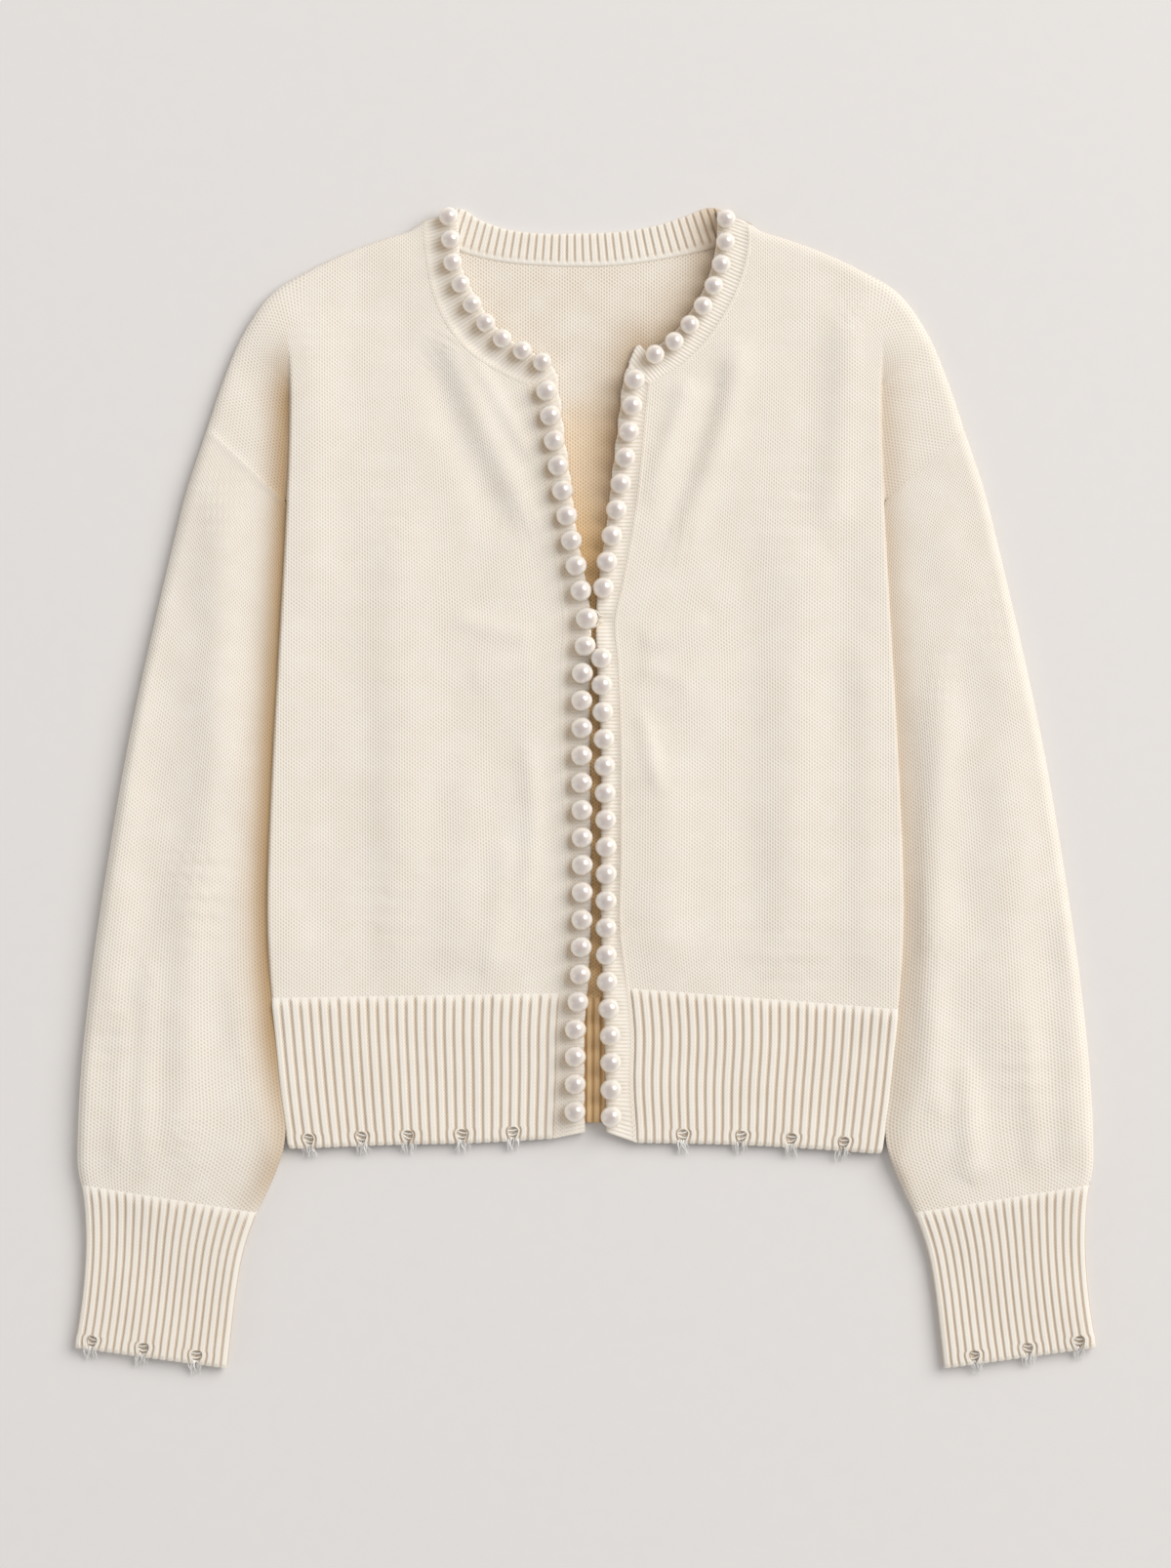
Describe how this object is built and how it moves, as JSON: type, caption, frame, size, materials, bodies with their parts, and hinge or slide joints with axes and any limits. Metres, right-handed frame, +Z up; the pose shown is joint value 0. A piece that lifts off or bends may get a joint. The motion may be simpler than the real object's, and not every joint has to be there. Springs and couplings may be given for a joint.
{
  "type": "open-front cardigan",
  "caption": "Cropped ribbed-edge knit cardigan laid flat, fronts caught by one pearl button and loop, with pearl-trimmed bands and torn rib edges.",
  "frame": {"origin": "centre of the laid-out garment's outline, on the surface it lies on", "axes": "+Z up from the surface, +Y towards the neck, +X to the right of the garment as it is laid out with its fronts up"},
  "size_m": [0.5644, 0.6461, 0.02],
  "materials": {
    "cream_knit": "fine plain knit, matt",
    "cream_rib": "ribbed knit, matt",
    "pearl": "imitation pearl, soft gloss",
    "yarn_ends": "loose white yarn"
  },
  "bodies": {
    "root": {"back_panel": "cream_knit", "front_panel_left": "cream_knit", "front_panel_right": "cream_knit", "sleeve_left": "cream_knit", "sleeve_right": "cream_knit", "cuff_left": "cream_rib", "cuff_right": "cream_rib", "hem_rib_front_left": "cream_rib", "hem_rib_front_right": "cream_rib", "hem_rib_back": "cream_rib", "neckband_back": "cream_rib", "neckband_front_left": "cream_rib", "neckband_front_right": "cream_rib", "front_band_left": "cream_rib", "front_band_right": "cream_rib", "fastening_loop": "cream_rib", "pearls_neck_left": "pearl", "pearls_neck_right": "pearl", "pearls_front_left_upper": "pearl", "pearls_front_left_lower": "pearl", "pearls_front_right_upper": "pearl", "pearls_front_right_lower": "pearl", "button_pearl": "pearl", "fray_hem_left_1": "yarn_ends", "fray_hem_left_2": "yarn_ends", "fray_hem_left_3": "yarn_ends", "fray_hem_left_4": "yarn_ends", "fray_hem_left_5": "yarn_ends", "fray_hem_right_1": "yarn_ends", "fray_hem_right_2": "yarn_ends", "fray_hem_right_3": "yarn_ends", "fray_hem_right_4": "yarn_ends", "fray_cuff_left_1": "yarn_ends", "fray_cuff_left_2": "yarn_ends", "fray_cuff_left_3": "yarn_ends", "fray_cuff_right_1": "yarn_ends", "fray_cuff_right_2": "yarn_ends", "fray_cuff_right_3": "yarn_ends"}
  },
  "joints": []
}
